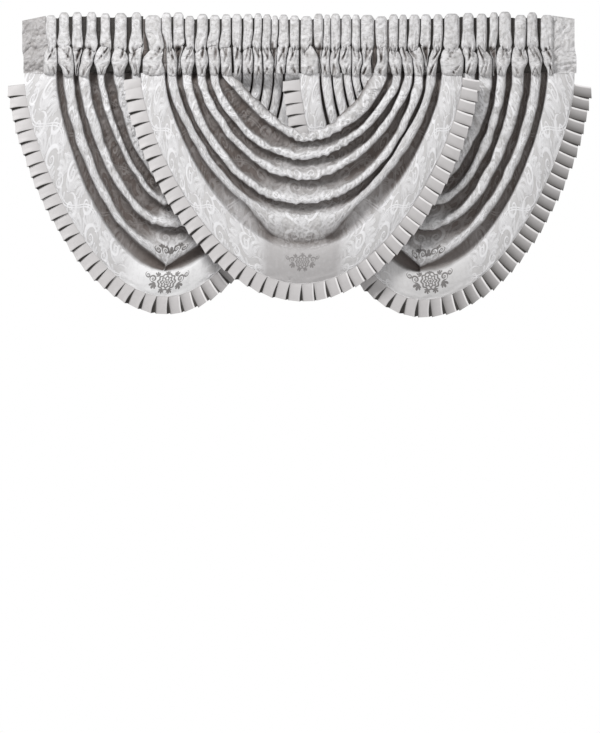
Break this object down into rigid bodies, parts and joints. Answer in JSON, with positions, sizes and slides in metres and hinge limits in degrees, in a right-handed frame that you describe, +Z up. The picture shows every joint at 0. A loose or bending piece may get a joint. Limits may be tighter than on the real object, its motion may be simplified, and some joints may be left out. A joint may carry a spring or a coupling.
{
  "type": "waterfall valance",
  "caption": "Gathered waterfall valance of woven damask swags with knife-pleated satin ruffles, hung by a rod pocket under a ruched frill.",
  "frame": {"origin": "on the axis of the rod pocket, at the middle of the rod", "axes": "+X along the rod, +Y back towards the wall, +Z up; the front faces -Y"},
  "size_m": [1.8146, 0.1361, 0.9473],
  "materials": {
    "silver_damask": "silver grey damask with tone-on-tone woven scrolls",
    "grey_satin": "plain silver grey satin"
  },
  "bodies": {
    "root": {"heading_left_outer": "silver_damask", "heading_centre_left": "silver_damask", "heading_left_inner": "silver_damask", "heading_right_inner": "silver_damask", "heading_centre_right": "silver_damask", "heading_right_outer": "silver_damask", "swag_left": "silver_damask", "swag_centre": "silver_damask", "swag_right": "silver_damask", "ruffle_left": "grey_satin", "ruffle_centre": "grey_satin", "ruffle_right": "grey_satin"}
  },
  "joints": []
}
